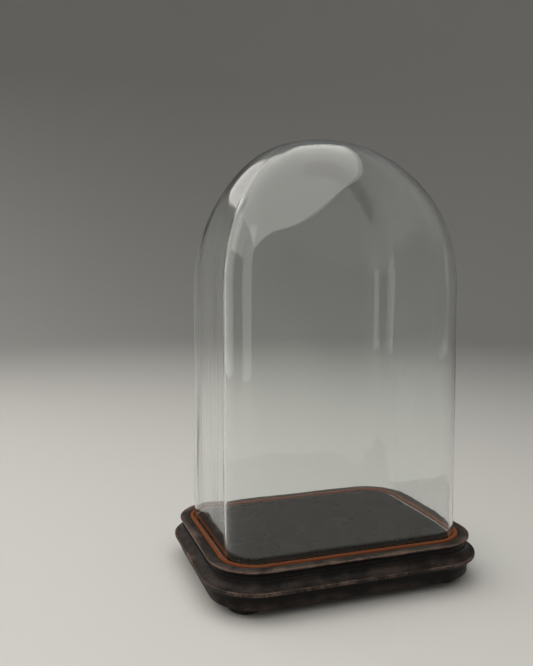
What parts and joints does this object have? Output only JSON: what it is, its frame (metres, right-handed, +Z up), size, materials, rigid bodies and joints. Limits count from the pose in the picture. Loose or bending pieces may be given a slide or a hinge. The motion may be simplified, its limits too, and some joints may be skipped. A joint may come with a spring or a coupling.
{
  "type": "glass display dome on stand",
  "caption": "Oblong clear glass bell jar dome with a rounded crown, lifting off a two-tier ebonised wooden stand with bun feet and a rust chenille cord round the foot of the glass.",
  "frame": {"origin": "on the surface the stand rests on, under the middle of the plan", "axes": "+Z up along the way the dome lifts, +X along the long side to the right, -Y to the front"},
  "size_m": [0.277, 0.2128, 0.4298],
  "materials": {
    "clear_glass": "clear blown glass, polished, ground at the rim",
    "rust_chenille": "short plush pile, faded and worn",
    "rust_felt": "matt wool felt",
    "floor_polish": "ebonised and polished, semi-gloss with fine scratches",
    "ebonised_wood": "ebonised, worn to brown on the edges",
    "screw_steel": "dull steel, slotted"
  },
  "bodies": {
    "stand": {"plinth": "ebonised_wood", "top_board": "ebonised_wood", "display_floor": "floor_polish", "rim_felt": "rust_felt", "chenille_cord": "rust_chenille", "foot_front_left": "ebonised_wood", "foot_front_right": "ebonised_wood", "foot_back_left": "ebonised_wood", "foot_back_right": "ebonised_wood", "screw_1": "screw_steel", "screw_2": "screw_steel", "screw_3": "screw_steel", "screw_4": "screw_steel", "screw_5": "screw_steel", "screw_6": "screw_steel"},
    "dome": {"glass_dome": "clear_glass"}
  },
  "joints": [
    {"name": "dome_lift", "type": "slide", "parent": "stand", "child": "dome", "axis": [0, 0, 1], "range_m": [0, 0.4]}
  ]
}
